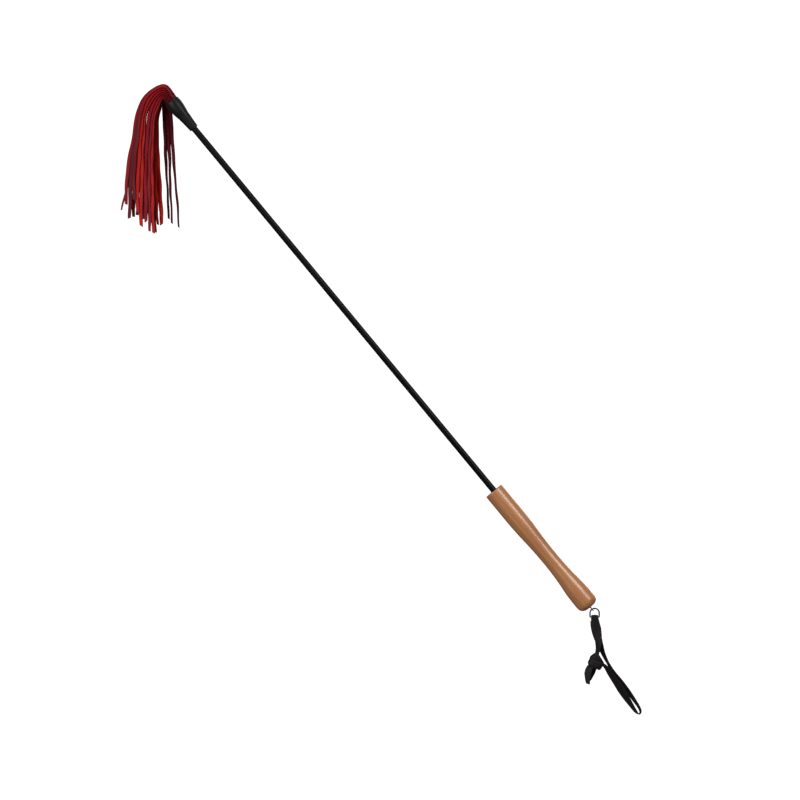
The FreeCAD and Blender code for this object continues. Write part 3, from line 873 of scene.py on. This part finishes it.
def blackLeather():
    shader = Shader("black leather")
    point = shader.place()
    across = shader.attribute("across").maths("ABSOLUTE")
    soft = shader.noise(point, 0.16, 4.0, 0.6)
    pebble = shader.node(
        "ShaderNodeTexVoronoi", {"feature": "SMOOTH_F1"}, {"Vector": point, "Scale": 1.5, "Smoothness": 0.5}
    )
    creases = shader.noise(point, 0.55, 5.0, 0.7).between(0.6, 0.72)
    colour = shader.mix(soft.between(0.35, 0.7), laceLook["colour"], laceLook["soft"])
    colour = shader.mix(creases * 0.4, colour, laceLook["crease"])
    colour = shader.mix(across.between(0.88, 1.0) * 0.6, colour, laceLook["edge"])
    return shader.set(
        Base_Color=colour,
        Roughness=soft * 0.2 + 0.5,
        Sheen_Weight=0.05,
        Sheen_Roughness=0.5,
        Specular_IOR_Level=0.22,
        Normal=shader.bump(pebble + creases * -0.5, 0.10, 0.55),
    )


def makeLace(leather):
    chance = random.Random(laceLook["seed"])
    for name, points, overBar, node in (
        ("lace_front", laceFront, 4, "lace_front_run"),
        ("lace_loop", laceLoop, 2, "lace_loop_run"),
    ):
        route = [Vector(p) for p, _, _ in points]
        angles = [a for _, a, _ in points]
        widthways = [Vector((1, 0, 0))] * overBar
        widthways += [turned(a, d) for a, d in zip(angles[overBar:], directions(route)[overBar:])]
        widths = [w for _, _, w in points]
        made, path, length = ribbon(
            name, route, widthways, widths, laceLook, leather, "black_leather", chance, 0.12, 0.35
        )
        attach(made, "wrist_lace")
        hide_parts(node)
    print("lace hung")


def band(centre, axis, start, halfLength, halfDepth, width, thickness, tip=0.0):
    # one turn of the lace round the others: a closed flat band about the axis
    steps, ring = 56, 10
    second = axis.cross(start).normalized()
    vertices, faces = [], []
    for step in range(steps):
        angle = 2 * math.pi * step / steps
        square = 0.72
        c, s = math.cos(angle), math.sin(angle)
        reach = (abs(c) ** (2 / square) + abs(s) ** (2 / square)) ** (-square / 2)
        out = (start * c * halfLength + second * s * halfDepth) * reach
        normal = (start * c * halfDepth + second * s * halfLength).normalized()
        middle = centre + out + axis * (tip * s)
        swell = 1 + 0.05 * math.sin(3 * angle + 1)
        for k in range(ring):
            turn = 2 * math.pi * k / ring
            u = math.copysign(abs(math.cos(turn)) ** 0.45, math.cos(turn))
            v = math.copysign(abs(math.sin(turn)) ** 0.8, math.sin(turn))
            bow = 0.5 * (1 - u * u)
            point = middle + axis * (u * width / 2 * swell) + normal * (v * thickness / 2 + bow)
            vertices.append(point * mm)
    for step in range(steps):
        after = (step + 1) % steps
        for k in range(ring):
            n = (k + 1) % ring
            faces.append((step * ring + k, step * ring + n, after * ring + n, after * ring + k))
    return vertices, faces


def makeKnot(leather):
    through = Vector((-0.47, 0, -0.88)).normalized()
    over = Vector((0.88, 0, -0.47)).normalized()
    rise = Vector((-0.80, 0.0, -0.60)).normalized()
    riseOver = Vector((0.60, 0.0, -0.80)).normalized()
    turns = [
        band(Vector((54.0, 0.2, -114.4)), through, over, 6.6, 5.0, 8.4, 1.4, 1.2),
        band(Vector((54.3, -0.2, -110.9)), rise, riseOver, 5.2, 4.4, 7.4, 1.4, -1.4),
    ]
    vertices, faces = [], []
    for more, moreFaces in turns:
        faces += [tuple(len(vertices) + k for k in face) for face in moreFaces]
        vertices += more
    knot = makeObject("knot", vertices, faces, leather, 60.0)
    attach(knot, "wrist_lace")
    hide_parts("lace_knot")
    print("knot tied")


stageLook = {"radius": 9000.0, "glow": 1.0, "segments": 32}


def makeStage():
    # a white dome all round, so that every side of the object is seen against the same white
    shader = Shader("white dome")
    material = shader.set(
        Base_Color=(0.86, 0.86, 0.86, 1.0),
        Roughness=0.9,
        Specular_IOR_Level=0.1,
        Emission_Color=(1.0, 1.0, 1.0, 1.0),
        Emission_Strength=stageLook["glow"],
    )
    radius = stageLook["radius"]
    turns = [math.pi * k / 16 for k in range(1, 16)]
    profile = [(radius * math.sin(turn), -radius * math.cos(turn)) for turn in turns]
    dome = lathe("dome", [(0, -radius), *profile, (0, radius)], stageLook["segments"], 0.0, material)
    dome.visible_glossy = False
    dome.visible_diffuse = False
    dome.visible_shadow = False
    material.cycles.emission_sampling = "NONE"


lightLook = {
    "lamps": {
        "key": {"place": (1.15, -1.45, 1.25), "size": (0.9, 1.2), "power": 22.0},
        "fill": {"place": (-1.9, -2.0, 0.5), "size": (1.6, 1.6), "power": 35.0},
        "top": {"place": (-0.4, -0.5, 2.2), "size": (1.6, 1.2), "power": 11.0},
        "back": {"place": (0.9, 2.2, 0.9), "size": (1.8, 1.8), "power": 24.0},
    },
    "aim": (-0.14, 0.0, 0.15),
    "world": 0.11,
    "worldColour": (1.0, 1.0, 1.0),
}


def areaLight(name, place, size, power, aim):
    data = bpy.data.lights.new(name, "AREA")
    data.shape = "RECTANGLE"
    data.size, data.size_y = size
    data.energy = power
    light = bpy.data.objects.new(name, data)
    light.location = place
    light.rotation_euler = (Vector(aim) - Vector(place)).to_track_quat("-Z", "Y").to_euler()
    bpy.context.scene.collection.objects.link(light)


def makeLights():
    for name, lamp in lightLook["lamps"].items():
        areaLight(name, lamp["place"], lamp["size"], lamp["power"], lightLook["aim"])
    world = bpy.data.worlds.new("studio")
    world.use_nodes = True
    background = world.node_tree.nodes["Background"]
    background.inputs[0].default_value = (*lightLook["worldColour"], 1.0)
    background.inputs[1].default_value = lightLook["world"]
    bpy.context.scene.world = world
    print("stage and lights set")


makeCamera()
leathers = {slot: redLeather(slot) for slot in ("red_leather", "dark_red_leather", "bright_red_leather")}
blackHide = blackLeather()
makeStrands(leathers)
makeLace(blackHide)
makeKnot(blackHide)

makeGrip(woodMaterial())
rubber = collarMaterial()
makeCollar(rubber)
braid = sleeveMaterial()
makeBraid(braid, rubber)

cadLooks = {
    "shaft_sleeve": braid,
    # the core and the whipping are darkened as painted shade among the strand roots
    "fibreglass_core": plainMaterial("fibreglass", hardwareLook["fibreglass"], 0.4),
    "root_whipping": plainMaterial("waxed thread darkened as painted shade", hardwareLook["thread"], 0.6),
    "screw_eye": metalMaterial("steel wire", hardwareLook["steel"], hardwareLook["steelWorn"], 0.22),
    "d_ring": metalMaterial("dark ring metal", hardwareLook["bronze"], hardwareLook["bronzeWorn"], 0.24),
}
for node, material in cadLooks.items():
    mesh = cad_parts[node].data
    mesh.materials.clear()
    mesh.materials.append(material)
print("CAD nodes painted")

makeStage()
makeLights()
